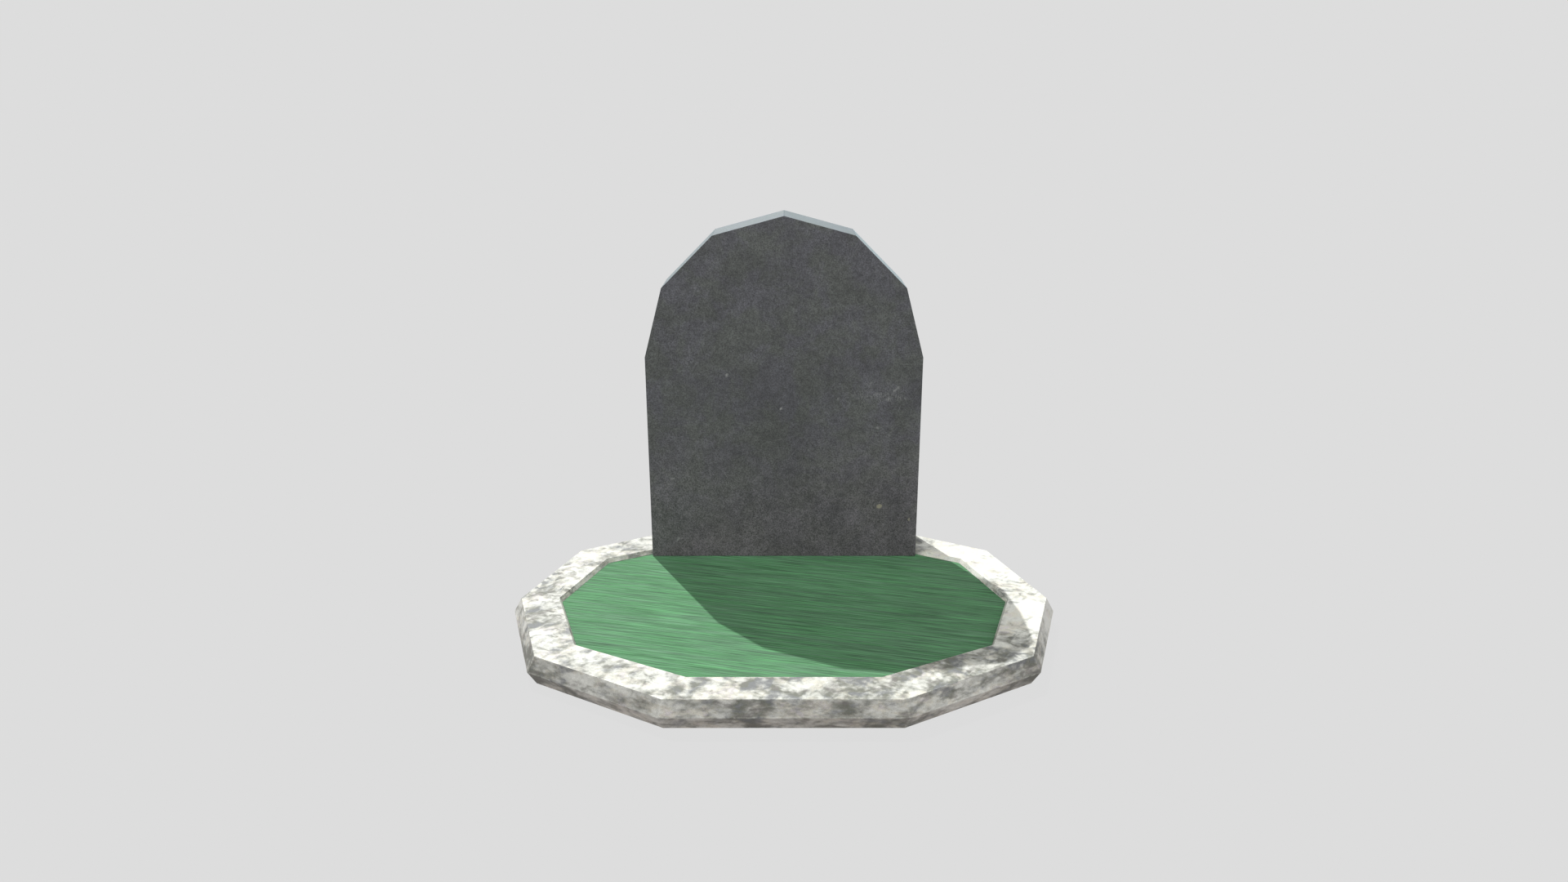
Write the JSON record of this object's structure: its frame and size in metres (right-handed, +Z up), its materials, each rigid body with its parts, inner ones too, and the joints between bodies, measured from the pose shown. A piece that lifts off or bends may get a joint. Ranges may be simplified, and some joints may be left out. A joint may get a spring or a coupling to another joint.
{
  "type": "headstone",
  "caption": "Upright headstone slab with a faceted round top, standing on a low many-sided granite kerb filled with a level green bed.",
  "frame": {"origin": "on the floor under the middle of the kerb, which is the bottom centre of the whole part's box", "axes": "+Z up; +Y from the front of the kerb towards the back of the slab; +X to the right as the slab is faced"},
  "size_m": [1.1238, 0.804, 0.8133],
  "materials": {
    "slate": "matte",
    "granite": "satin",
    "turf": "matte"
  },
  "bodies": {
    "root": {"headstone_slab": "slate", "granite_kerb": "granite", "green_bed": "turf"}
  },
  "joints": []
}
